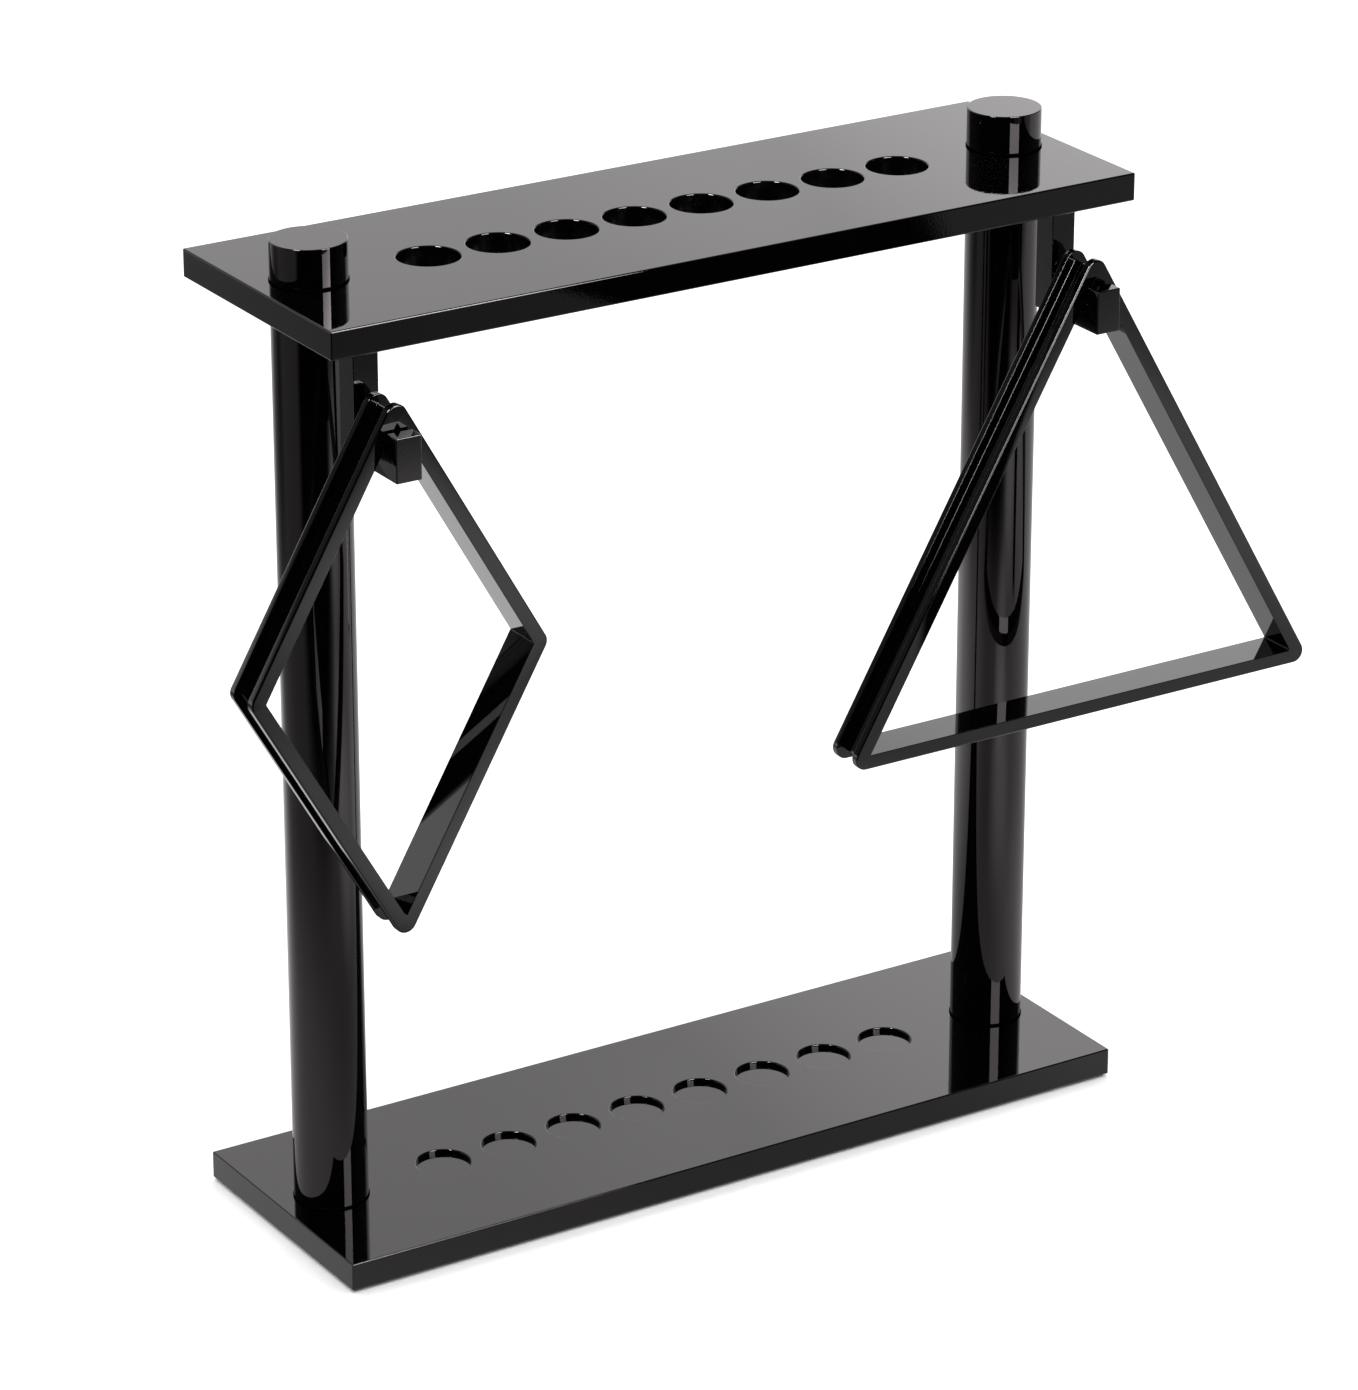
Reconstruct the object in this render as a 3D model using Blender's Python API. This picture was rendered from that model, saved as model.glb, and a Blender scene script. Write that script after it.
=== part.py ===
"""Free-standing billiard cue stand with a triangle rack and a diamond rack hung on its two hooks.

Units are metres, +Z is up, the stand's long side runs along X and its front faces -Y.
The origin is the centre of the stand's footprint, on the floor.
"""
import math

import bmesh
import bpy
from mathutils import Vector

# ---------------------------------------------------------------- driving dimensions
GAP = 0.0003                    # clearance between pieces that touch

PLATE_LENGTH = 0.570            # both plates, along X
PLATE_DEPTH = 0.182             # both plates, along Y
PLATE_THICKNESS = 0.018
STAND_HEIGHT = 0.622            # floor to the upper face of the top plate
PLATE_EDGE = 0.0006             # broken edge of the lacquered boards

CUE_COUNT = 8
CUE_PITCH = 0.048
CUE_HOLE_RADIUS = 0.0195        # through holes in the top plate
REST_RADIUS = 0.0175            # blind recesses in the base for the cue butts
REST_DEPTH = 0.003

COLUMN_X = 0.249                # column and hook centre lines, left and right
COLUMN_RADIUS = 0.0235
CAP_HEIGHT = 0.024
RING_RADIUS = 0.0244            # thin sleeve washer that shows as a bead round each joint
RING_THICKNESS = 0.0008

LINER_THICKNESS = 0.0015        # felt glued under the base
LINER_INSET = 0.0025            # liner edge behind the base edge

BOLT_RADIUS = 0.004             # M8 hardware
BOLT_LENGTH = 0.060
BOLT_HEAD_FLATS = 0.013
BOLT_HEAD_HEIGHT = 0.0053
COUNTERBORE_RADIUS = 0.0115
COUNTERBORE_DEPTH = 0.008
WASHER_RADIUS = 0.010
WASHER_THICKNESS = 0.0016
INSERT_RADIUS = 0.006           # threaded insert pressed into column or cap
INSERT_LENGTH = 0.015
COLUMN_FOOT_BORE = 0.049
COLUMN_TOP_BORE = 0.0265
CAP_BORE = 0.0175
STUD_LENGTH = 0.0585

HOOK_WIDTH = 0.017              # along X
HOOK_BACK_Y = -0.0495
HOOK_POST_FRONT_Y = -0.0665
HOOK_LIP_BACK_Y = -0.1050
HOOK_LIP_FRONT_Y = -0.1160
HOOK_BOTTOM_Z = 0.5310
HOOK_ARM_HEIGHT = 0.017
HOOK_LIP_HEIGHT = 0.028
HOOK_EDGE = 0.0005
DOWEL_RADIUS = 0.004
DOWEL_LENGTH = 0.024

BALL_DIAMETER = 0.05715
RACK_PLAY = 0.0006              # slack along each inner side
RACK_DEPTH = 0.028              # along Y
RACK_BAND = 0.0093              # from inner face to the rim's outer edge
RACK_WEB = 0.0033               # wall at the bottom of the outer channel
RACK_RIM = 0.0055               # thickness of the front and back rims
RACK_CHAMFER = 0.0008
RACK_CORNER_RADIUS = 0.0073
RACK_FRONT_Y = -0.1027

ROUND_SIDES = 48
HOLE_SIDES = 32
BORE_SIDES = 16              # hidden bores and hardware

BASE_BOTTOM = LINER_THICKNESS + GAP
BASE_TOP = BASE_BOTTOM + PLATE_THICKNESS
TOP_BOTTOM = STAND_HEIGHT - PLATE_THICKNESS
RING_STACK = 2 * GAP + RING_THICKNESS
COLUMN_BOTTOM = BASE_TOP + RING_STACK
COLUMN_TOP = TOP_BOTTOM - GAP
CAP_BOTTOM = STAND_HEIGHT + RING_STACK
ARM_TOP = HOOK_BOTTOM_Z + HOOK_ARM_HEIGHT
HOOK_CENTRE_Y = (HOOK_BACK_Y + HOOK_POST_FRONT_Y) / 2
SIDES = {"left": -1.0, "right": 1.0}

for item in list(bpy.data.objects):
    bpy.data.objects.remove(item, do_unlink=True)


# ---------------------------------------------------------------- helpers
def material(name, colour, roughness, metallic=0.0):
    """A Principled material with a plain colour."""
    mat = bpy.data.materials.new(name)
    mat.use_nodes = True
    shader = mat.node_tree.nodes["Principled BSDF"]
    shader.inputs["Base Color"].default_value = (*colour, 1.0)
    shader.inputs["Roughness"].default_value = roughness
    shader.inputs["Metallic"].default_value = metallic
    return mat


def add_object(name, bm, mat, location=(0.0, 0.0, 0.0), smooth=False):
    """Link the bmesh as one object with outward faces."""
    bmesh.ops.recalc_face_normals(bm, faces=bm.faces)
    mesh = bpy.data.meshes.new(name)
    bm.to_mesh(mesh)
    bm.free()
    if smooth:
        mesh.shade_smooth()
        mesh.set_sharp_from_angle(angle=math.radians(30))
    if mat:
        mesh.materials.append(mat)
    obj = bpy.data.objects.new(name, mesh)
    obj.location = location
    bpy.context.scene.collection.objects.link(obj)
    return obj


def box(bm, size, centre):
    """Add an axis-aligned box to the bmesh."""
    verts = bmesh.ops.create_cube(bm, size=1.0)["verts"]
    bmesh.ops.scale(bm, vec=Vector(size), verts=verts)
    bmesh.ops.translate(bm, vec=Vector(centre), verts=verts)


def drum(bm, radius, low, high, x=0.0, y=0.0, sides=HOLE_SIDES):
    """Add an upright cylinder between two heights to the bmesh."""
    verts = bmesh.ops.create_cone(
        bm, cap_ends=True, segments=sides, radius1=radius, radius2=radius, depth=high - low
    )["verts"]
    bmesh.ops.translate(bm, vec=Vector((x, y, (low + high) / 2)), verts=verts)


def turned(bm, profile, sides):
    """Spin a closed (radius, height) outline about Z into a solid of revolution."""
    rings = []
    for radius, height in profile:
        if radius < 1e-6:
            rings.append([bm.verts.new((0.0, 0.0, height))])
            continue
        ring = []
        for step in range(sides):
            angle = 2 * math.pi * step / sides
            ring.append(bm.verts.new((radius * math.cos(angle), radius * math.sin(angle), height)))
        rings.append(ring)
    closed = profile[0][0] > 1e-6 and profile[-1][0] > 1e-6
    pairs = list(zip(rings, rings[1:]))
    if closed:
        pairs.append((rings[-1], rings[0]))
    for low, high in pairs:
        for step in range(sides):
            nxt = (step + 1) % sides
            if len(low) == 1:
                bm.faces.new((low[0], high[step], high[nxt]))
            elif len(high) == 1:
                bm.faces.new((low[step], low[nxt], high[0]))
            else:
                bm.faces.new((low[step], low[nxt], high[nxt], high[step]))


def stamp(bm, profile, x):
    """Add a turned solid to the bmesh with its axis at the given X."""
    before = set(bm.verts)
    turned(bm, profile, BORE_SIDES)
    fresh = [vert for vert in bm.verts if vert not in before]
    bmesh.ops.translate(bm, vec=Vector((x, 0.0, 0.0)), verts=fresh)


def cut(obj, cutter_bm):
    """Take the cutter's volume out of the object with a live Boolean."""
    cutter = add_object(obj.name + "_cutter", cutter_bm, None)
    cutter.hide_render = True
    cutter.display_type = "WIRE"
    modifier = obj.modifiers.new("Cut", "BOOLEAN")
    modifier.operation = "DIFFERENCE"
    modifier.solver = "EXACT"
    modifier.object = cutter


def soften(obj, width, segments=1):
    """Break the sharp edges with a live Bevel."""
    modifier = obj.modifiers.new("Edges", "BEVEL")
    modifier.width = width
    modifier.segments = segments
    modifier.limit_method = "ANGLE"
    modifier.angle_limit = math.radians(40)


# ---------------------------------------------------------------- materials
lacquer = material("black_lacquer", (0.010, 0.010, 0.011), 0.06)
column_lacquer = material("column_lacquer", (0.010, 0.010, 0.011), 0.05)
hook_lacquer = material("hook_lacquer", (0.012, 0.012, 0.013), 0.10)
rack_plastic = material("rack_plastic", (0.012, 0.012, 0.013), 0.09)
ring_rubber = material("ring_rubber", (0.015, 0.015, 0.015), 0.55)
zinc = material("zinc_steel", (0.62, 0.63, 0.65), 0.32, 1.0)
brass = material("insert_brass", (0.66, 0.50, 0.22), 0.30, 1.0)
beech = material("beech", (0.62, 0.42, 0.24), 0.60)
felt = material("felt", (0.020, 0.020, 0.022), 0.95)


# ---------------------------------------------------------------- plates
def cue_positions():
    """X of each cue station, centred on the stand."""
    first = -CUE_PITCH * (CUE_COUNT - 1) / 2
    return [first + CUE_PITCH * station for station in range(CUE_COUNT)]


def board(name, bottom):
    """One lacquered board lying flat with its underside at the given height."""
    bm = bmesh.new()
    box(bm, (PLATE_LENGTH, PLATE_DEPTH, PLATE_THICKNESS), (0.0, 0.0, bottom + PLATE_THICKNESS / 2))
    obj = add_object(name, bm, lacquer)
    soften(obj, PLATE_EDGE)
    return obj


base = board("base_plate", BASE_BOTTOM)
tool = bmesh.new()
for cue_x in cue_positions():
    drum(tool, REST_RADIUS, BASE_TOP - REST_DEPTH, BASE_TOP + 0.004, x=cue_x)
for side in SIDES.values():
    counterbore = [
        (0.0, BASE_BOTTOM - 0.004),
        (COUNTERBORE_RADIUS, BASE_BOTTOM - 0.004),
        (COUNTERBORE_RADIUS, BASE_BOTTOM + COUNTERBORE_DEPTH),
        (BOLT_RADIUS + GAP, BASE_BOTTOM + COUNTERBORE_DEPTH),
        (BOLT_RADIUS + GAP, BASE_TOP + 0.004),
        (0.0, BASE_TOP + 0.004),
    ]
    stamp(tool, counterbore, side * COLUMN_X)
cut(base, tool)

top = board("top_plate", TOP_BOTTOM)
tool = bmesh.new()
for cue_x in cue_positions():
    drum(tool, CUE_HOLE_RADIUS, TOP_BOTTOM - 0.004, STAND_HEIGHT + 0.004, x=cue_x)
for side in SIDES.values():
    drum(tool, BOLT_RADIUS + GAP, TOP_BOTTOM - 0.004, STAND_HEIGHT + 0.004,
         x=side * COLUMN_X, sides=BORE_SIDES)
    drum(tool, DOWEL_RADIUS + GAP, TOP_BOTTOM - 0.004, TOP_BOTTOM + DOWEL_LENGTH / 2 + GAP,
         x=side * COLUMN_X, y=HOOK_CENTRE_Y, sides=BORE_SIDES)
cut(top, tool)

liner = bmesh.new()
box(liner, (PLATE_LENGTH - 2 * LINER_INSET, PLATE_DEPTH - 2 * LINER_INSET, LINER_THICKNESS),
    (0.0, 0.0, LINER_THICKNESS / 2))
liner = add_object("felt_liner", liner, felt)
tool = bmesh.new()
for side in SIDES.values():
    drum(tool, COUNTERBORE_RADIUS, -0.002, LINER_THICKNESS + 0.002, x=side * COLUMN_X, sides=BORE_SIDES)
cut(liner, tool)


# ---------------------------------------------------------------- columns and their hardware
def sleeve(name, outer, inner, length, mat, location, sides):
    """A plain tube standing on its location."""
    bm = bmesh.new()
    turned(bm, [(inner, 0.0), (outer, 0.0), (outer, length), (inner, length)], sides)
    return add_object(name, bm, mat, location=location, smooth=True)


def turned_blank(name, height, x, bottom):
    """Solid turned cylinder with broken edges."""
    rim = COLUMN_RADIUS - PLATE_EDGE
    profile = [(0.0, 0.0), (rim, 0.0), (COLUMN_RADIUS, PLATE_EDGE),
               (COLUMN_RADIUS, height - PLATE_EDGE), (rim, height), (0.0, height)]
    bm = bmesh.new()
    turned(bm, profile, ROUND_SIDES)
    return add_object(name, bm, column_lacquer, location=(x, 0.0, bottom), smooth=True)


def stepped_bore(bm, x, mouth, inward, depth):
    """Wide socket for an insert at the mouth, then a narrower bore to the full depth.

    Inward is +1 for a hole that runs up from its mouth and -1 for one that runs down.
    """
    socket_end = mouth + inward * (INSERT_LENGTH + 2 * GAP)
    profile = [
        (0.0, mouth - inward * 0.004),
        (INSERT_RADIUS + GAP, mouth - inward * 0.004),
        (INSERT_RADIUS + GAP, socket_end),
        (BOLT_RADIUS + GAP, socket_end),
        (BOLT_RADIUS + GAP, mouth + inward * depth),
        (0.0, mouth + inward * depth),
    ]
    stamp(bm, profile, x)


def hex_bolt(name, x):
    """Hexagon-head bolt pointing up, its head inside the counterbore."""
    bm = bmesh.new()
    washer_low = BASE_BOTTOM + COUNTERBORE_DEPTH - GAP - WASHER_THICKNESS
    head_high = washer_low - GAP
    corner = BOLT_HEAD_FLATS / math.sqrt(3)
    head = []
    for level in (head_high - BOLT_HEAD_HEIGHT, head_high):
        head.append([
            bm.verts.new((corner * math.cos(math.pi * k / 3), corner * math.sin(math.pi * k / 3), level))
            for k in range(6)
        ])
    shank_sides = 12
    shank = []
    for level in (head_high, head_high + BOLT_LENGTH):
        shank.append([
            bm.verts.new((BOLT_RADIUS * math.cos(2 * math.pi * k / shank_sides),
                          BOLT_RADIUS * math.sin(2 * math.pi * k / shank_sides), level))
            for k in range(shank_sides)
        ])
    bm.faces.new(head[0])
    bm.faces.new(shank[1])
    for k in range(6):
        bm.faces.new((head[0][k], head[0][(k + 1) % 6], head[1][(k + 1) % 6], head[1][k]))
    for k in range(shank_sides):
        nxt = (k + 1) % shank_sides
        bm.faces.new((shank[0][k], shank[0][nxt], shank[1][nxt], shank[1][k]))
    per_flat = shank_sides // 6
    for k in range(6):
        arc = [shank[0][(k * per_flat + step) % shank_sides] for step in range(per_flat + 1)]
        bm.faces.new([head[1][k], head[1][(k + 1) % 6]] + arc[::-1])
    return add_object(name, bm, zinc, location=(x, 0.0, 0.0), smooth=True)


def stud(name, x):
    """Threaded stud from the column's top insert, through the plate, into the cap."""
    bm = bmesh.new()
    edge = 0.0006
    profile = [(0.0, 0.0), (BOLT_RADIUS - edge, 0.0), (BOLT_RADIUS, edge),
               (BOLT_RADIUS, STUD_LENGTH - edge), (BOLT_RADIUS - edge, STUD_LENGTH), (0.0, STUD_LENGTH)]
    turned(bm, profile, 12)
    foot = COLUMN_TOP - COLUMN_TOP_BORE + 0.002
    return add_object(name, bm, zinc, location=(x, 0.0, foot), smooth=True)


for label, side in SIDES.items():
    axis_x = side * COLUMN_X
    column = turned_blank("column_" + label, COLUMN_TOP - COLUMN_BOTTOM, axis_x, COLUMN_BOTTOM)
    tool = bmesh.new()
    stepped_bore(tool, axis_x, COLUMN_BOTTOM, 1, COLUMN_FOOT_BORE)
    stepped_bore(tool, axis_x, COLUMN_TOP, -1, COLUMN_TOP_BORE)
    cut(column, tool)
    cap = turned_blank("cap_" + label, CAP_HEIGHT, axis_x, CAP_BOTTOM)
    tool = bmesh.new()
    stepped_bore(tool, axis_x, CAP_BOTTOM, 1, CAP_BORE)
    cut(cap, tool)
    for place, level in (("foot", BASE_TOP + GAP), ("cap", STAND_HEIGHT + GAP)):
        sleeve("%s_ring_%s" % (place, label), RING_RADIUS, BOLT_RADIUS + 2 * GAP, RING_THICKNESS,
               ring_rubber, (axis_x, 0.0, level), 36)
    hex_bolt("base_bolt_" + label, axis_x)
    sleeve("base_washer_" + label, WASHER_RADIUS, BOLT_RADIUS + GAP, WASHER_THICKNESS, zinc,
           (axis_x, 0.0, BASE_BOTTOM + COUNTERBORE_DEPTH - GAP - WASHER_THICKNESS), BORE_SIDES)
    stud("top_stud_" + label, axis_x)
    for place, level in (("foot", COLUMN_BOTTOM + GAP), ("top", COLUMN_TOP - INSERT_LENGTH - GAP),
                         ("cap", CAP_BOTTOM + GAP)):
        sleeve("insert_%s_%s" % (place, label), INSERT_RADIUS, BOLT_RADIUS + GAP, INSERT_LENGTH, brass,
               (axis_x, 0.0, level), 12)


# ---------------------------------------------------------------- hooks
def hook(name, x):
    """J-shaped hook sawn from one board: post, arm towards the front and upturned lip."""
    outline = [
        (HOOK_BACK_Y, HOOK_BOTTOM_Z),
        (HOOK_BACK_Y, TOP_BOTTOM - GAP),
        (HOOK_POST_FRONT_Y, TOP_BOTTOM - GAP),
        (HOOK_POST_FRONT_Y, ARM_TOP),
        (HOOK_LIP_BACK_Y, ARM_TOP),
        (HOOK_LIP_BACK_Y, HOOK_BOTTOM_Z + HOOK_LIP_HEIGHT),
        (HOOK_LIP_FRONT_Y, HOOK_BOTTOM_Z + HOOK_LIP_HEIGHT),
        (HOOK_LIP_FRONT_Y, HOOK_BOTTOM_Z),
    ]
    bm = bmesh.new()
    side_face = bm.faces.new([bm.verts.new((-HOOK_WIDTH / 2, y, z)) for y, z in outline])
    pushed = bmesh.ops.extrude_face_region(bm, geom=[side_face])["geom"]
    moved = [item for item in pushed if isinstance(item, bmesh.types.BMVert)]
    bmesh.ops.translate(bm, vec=Vector((HOOK_WIDTH, 0.0, 0.0)), verts=moved)
    obj = add_object(name, bm, hook_lacquer, location=(x, 0.0, 0.0))
    soften(obj, HOOK_EDGE)
    socket = bmesh.new()
    drum(socket, DOWEL_RADIUS + GAP, TOP_BOTTOM - DOWEL_LENGTH / 2 - GAP, TOP_BOTTOM + 0.004,
         x=x, y=HOOK_CENTRE_Y, sides=BORE_SIDES)
    cut(obj, socket)
    return obj


for label, side in SIDES.items():
    hook("hook_" + label, side * COLUMN_X)
    bm = bmesh.new()
    drum(bm, DOWEL_RADIUS, -DOWEL_LENGTH / 2, DOWEL_LENGTH / 2, sides=BORE_SIDES)
    add_object("hook_dowel_" + label, bm, beech, location=(side * COLUMN_X, HOOK_CENTRE_Y, TOP_BOTTOM),
               smooth=True)


# ---------------------------------------------------------------- racks
def rounded_outline(corners, offset, radius, steps=6):
    """Convex outline pushed outwards by the offset, each corner rounded with the radius.

    Corners are (x, z) pairs in order. Every outline of one rack has the same point count.
    """
    points = []
    count = len(corners)
    for index, corner in enumerate(corners):
        here = Vector(corner)
        back = (Vector(corners[index - 1]) - here).normalized()
        ahead = (Vector(corners[(index + 1) % count]) - here).normalized()
        inward = (back + ahead).normalized()
        half = back.angle(ahead) / 2
        pushed = here - inward * (offset / math.sin(half))
        centre = pushed + inward * (radius / math.sin(half))
        start = pushed + back * (radius / math.tan(half)) - centre
        end = pushed + ahead * (radius / math.tan(half)) - centre
        sweep = start.angle_signed(end)
        for step in range(steps + 1):
            turn = -sweep * step / steps
            cos_t = math.cos(turn)
            sin_t = math.sin(turn)
            spoke = Vector((start.x * cos_t - start.y * sin_t, start.x * sin_t + start.y * cos_t))
            points.append(centre + spoke)
    return points


def rack(name, corners, hang_x):
    """Ball rack: flat inner wall, front and back rims, and a channel round the outside.

    The object's origin is its seat, the middle of the hook arm's upper face.
    """
    half = RACK_DEPTH / 2
    rim_edge = RACK_BAND - RACK_CHAMFER
    round_in = RACK_CORNER_RADIUS - RACK_CHAMFER
    section = [
        (0.0, -half, 0.0005),
        (rim_edge, -half, round_in),
        (RACK_BAND, -half + RACK_CHAMFER, RACK_CORNER_RADIUS),
        (RACK_BAND, -half + RACK_RIM, RACK_CORNER_RADIUS),
        (RACK_WEB, -half + RACK_RIM, 0.0012),
        (RACK_WEB, half - RACK_RIM, 0.0012),
        (RACK_BAND, half - RACK_RIM, RACK_CORNER_RADIUS),
        (RACK_BAND, half - RACK_CHAMFER, RACK_CORNER_RADIUS),
        (rim_edge, half, round_in),
        (0.0, half, 0.0005),
    ]
    bm = bmesh.new()
    loops = []
    for offset, y, radius in section:
        outline = rounded_outline(corners, offset, radius)
        loops.append([bm.verts.new((point.x, y, point.y)) for point in outline])
    count = len(loops[0])
    for index, loop in enumerate(loops):
        following = loops[(index + 1) % len(loops)]
        for k in range(count):
            nxt = (k + 1) % count
            bm.faces.new((loop[k], loop[nxt], following[nxt], following[k]))
    seat = (hang_x, RACK_FRONT_Y + half, ARM_TOP)
    return add_object(name, bm, rack_plastic, location=seat, smooth=True)


def hanging_corners(side, apex_half_angle, diamond):
    """Inner corners, clockwise from the apex, of a rack whose apex straddles the hook arm."""
    rise = HOOK_WIDTH / 2 / math.tan(apex_half_angle) + GAP / math.sin(apex_half_angle)
    half_width = side * math.sin(apex_half_angle)
    drop = side * math.cos(apex_half_angle)
    if diamond:
        return [(0.0, rise), (half_width, rise - drop), (0.0, rise - 2 * drop), (-half_width, rise - drop)]
    return [(0.0, rise), (half_width, rise - drop), (-half_width, rise - drop)]


# Fifteen balls fill an equilateral triangle, nine fill a rhombus with 60 degree points.
triangle_side = BALL_DIAMETER * (4 + math.sqrt(3)) + RACK_PLAY
diamond_side = BALL_DIAMETER * (2 + (math.sqrt(3) + 1 / math.sqrt(3)) / 2) + RACK_PLAY
rack("triangle_rack", hanging_corners(triangle_side, math.radians(30), False), COLUMN_X)
rack("diamond_rack", hanging_corners(diamond_side, math.radians(30), True), -COLUMN_X)
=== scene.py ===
"""Finished look of the billiard cue stand with its triangle and diamond racks.

Each CAD node has one fine piece, sized from the node's own box in the frame, with eased edges, real threads
and a procedural finish. Units are metres, +Z is up and the stand's front faces -Y, as in the frame.
"""
import math

import bmesh
import bpy
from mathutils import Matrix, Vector


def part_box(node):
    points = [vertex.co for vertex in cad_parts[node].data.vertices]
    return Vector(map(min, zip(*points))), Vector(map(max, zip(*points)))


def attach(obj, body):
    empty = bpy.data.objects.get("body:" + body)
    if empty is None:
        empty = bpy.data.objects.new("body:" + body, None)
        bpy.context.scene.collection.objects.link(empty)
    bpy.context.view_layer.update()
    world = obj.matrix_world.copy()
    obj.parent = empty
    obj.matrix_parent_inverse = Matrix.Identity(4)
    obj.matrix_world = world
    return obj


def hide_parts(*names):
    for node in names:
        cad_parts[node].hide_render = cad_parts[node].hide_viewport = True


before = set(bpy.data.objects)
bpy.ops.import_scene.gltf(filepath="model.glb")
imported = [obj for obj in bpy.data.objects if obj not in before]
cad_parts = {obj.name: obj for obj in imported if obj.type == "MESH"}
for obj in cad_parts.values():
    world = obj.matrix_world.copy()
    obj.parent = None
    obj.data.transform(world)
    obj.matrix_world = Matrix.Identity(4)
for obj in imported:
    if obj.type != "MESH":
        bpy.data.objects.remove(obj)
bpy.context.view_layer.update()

# ---------------------------------------------------------------- sizes shared with the CAD
GAP = 0.0003                    # clearance between pieces that touch
CUE_COUNT = 8
CUE_PITCH = 0.048
CUE_HOLE_RADIUS = 0.0195        # through holes in the top plate
REST_RADIUS = 0.0175            # blind recesses in the base for the cue butts
REST_DEPTH = 0.003
BOLT_RADIUS = 0.004             # M8 hardware
COUNTERBORE_RADIUS = 0.0115
COUNTERBORE_DEPTH = 0.008
INSERT_LENGTH = 0.015
INSERT_RADIUS = 0.006
COLUMN_FOOT_BORE = 0.049
COLUMN_TOP_BORE = 0.0265
CAP_BORE = 0.0175
DOWEL_LENGTH = 0.024
DOWEL_RADIUS = 0.004
HOOK_POST_DEPTH = 0.017
HOOK_LIP_DEPTH = 0.011
HOOK_ARM_HEIGHT = 0.017
HOOK_LIP_HEIGHT = 0.028
BALL_DIAMETER = 0.05715
RACK_PLAY = 0.0006              # slack along each inner side
RACK_BAND = 0.0093              # from the inner face to the rim's outer edge
RACK_WEB = 0.0033               # wall at the bottom of the outer channel
RACK_RIM = 0.0055               # thickness of the front and back rims
RACK_CORNER_RADIUS = 0.0073
HALF_APEX = math.radians(30)    # half the angle at the top of both racks

# ---------------------------------------------------------------- sizes of the fine surface
PLATE_EASE = 0.0009             # rounding of the lacquered boards' edges
TURNED_EASE = 0.0005            # rounding of the caps' tops
SEAM_EASE = 0.0001              # rounding of the column and the cap where they meet the beads
BORE_EASE = 0.0003              # rounding of the mouths of the columns' and caps' bores
BEAD_EASE = 0.00038             # rounding of the rubber beads' rims
BEAD_INSET = 0.0004             # the rubber beads stand this far inside their drawn edge
WASHER_EASE = 0.0003
HOOK_EASE = 0.0006
FELT_EASE = 0.0002
FELT_DENT = 0.00007             # half the depth of the unevenness of the felt
FELT_COLUMNS = 96
FELT_ROWS = 30
RACK_EASE = 0.0004              # rounding of the edges round the balls
RACK_ROUND = 0.0011             # rounding of the rack's front and back outer edges
RACK_LIP = 0.0004               # rounding of the channel's lips
RACK_ROOT = 0.0006              # fillet at the bottom of the rack's channel
SMALLEST_CORNER = 0.0005        # radius of the rack's corners round the balls
FACET_SLACK = 0.00013           # added to the rack's corner radius
BOLT_THREAD_DEPTH = 0.0007
BOLT_THREAD_PITCH = 0.00125
BOLT_THREAD_LENGTH = 0.026
STUD_THREAD_LENGTH = 0.018
THREAD_LEAD = 0.0008            # plain cone at the end of a bolt or stud
HEAD_CHAMFER = 0.0007
INSERT_THREAD_DEPTH = 0.0009
INSERT_THREAD_PITCH = 0.0030
INSERT_EDGE = 0.0004            # chamfer of the insert's bore
FLUTE_COUNT = 12
FLUTE_DEPTH = 0.00022           # half the depth of the dowel's flutes
DOWEL_TAPER = 0.0012

# ---------------------------------------------------------------- fineness of the mesh
EASE_STEPS = 3
CORNER_STEPS = 14
THREAD_STEPS = 6                # rings to one turn of a thread
COLUMN_SIDES = 144
HOLE_SIDES = 96
COUNTERBORE_SIDES = 48
WASHER_SIDES = 48
DOWEL_SIDES = 48
HARDWARE_SIDES = 24
CUT_PAST = 0.004                # a cutter reaches this far past the surface it opens
ROUNDED_TURN = math.radians(40)     # carved edges that turn more than this are rounded
SHARP_TURN = 50                 # degrees: edges that turn more than this are shaded as corners
SHARP_THREAD_TURN = 28
SHARP_RACK_TURN = 60
UPRIGHT_SLOPE = 0.02            # largest part of Z in the normal of an upright wall
BORE_FACET = 0.0001             # a bore's wall is made of facets smaller than this, in square metres
BORE_REACH = 0.085              # the top plate's bores lie this close to its middle line

SIDES = ("left", "right")


# ---------------------------------------------------------------- mesh helpers
def fillet(corners, steps):
    """Round a closed outline of (a, b, radius) corners, turning either way, into plain points."""
    points = []
    for index, (a, b, radius) in enumerate(corners):
        here = Vector((a, b))
        back = (Vector(corners[index - 1][:2]) - here).normalized()
        ahead = (Vector(corners[(index + 1) % len(corners)][:2]) - here).normalized()
        half = back.angle(ahead) / 2
        if radius == 0.0:
            points.append(here)
            continue
        centre = here + (back + ahead).normalized() * (radius / math.sin(half))
        start = here + back * (radius / math.tan(half)) - centre
        end = here + ahead * (radius / math.tan(half)) - centre
        sweep = -start.angle_signed(end)
        for step in range(steps + 1):
            turn = sweep * step / steps
            spoke = (start.x * math.cos(turn) - start.y * math.sin(turn),
                     start.x * math.sin(turn) + start.y * math.cos(turn))
            points.append(centre + Vector(spoke))
    return points


def bridge(bm, first, second):
    """Quads between two rings with the same number of vertices."""
    count = len(first)
    for index in range(count):
        after = (index + 1) % count
        bm.faces.new((first[index], first[after], second[after], second[index]))


def skin(bm, rings, closed=False):
    """Quads through all the rings, which then close on themselves or with a flat disc at each end."""
    for first, second in zip(rings, rings[1:]):
        bridge(bm, first, second)
    if closed:
        bridge(bm, rings[-1], rings[0])
    else:
        bm.faces.new(rings[0])
        bm.faces.new(rings[-1])


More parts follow.
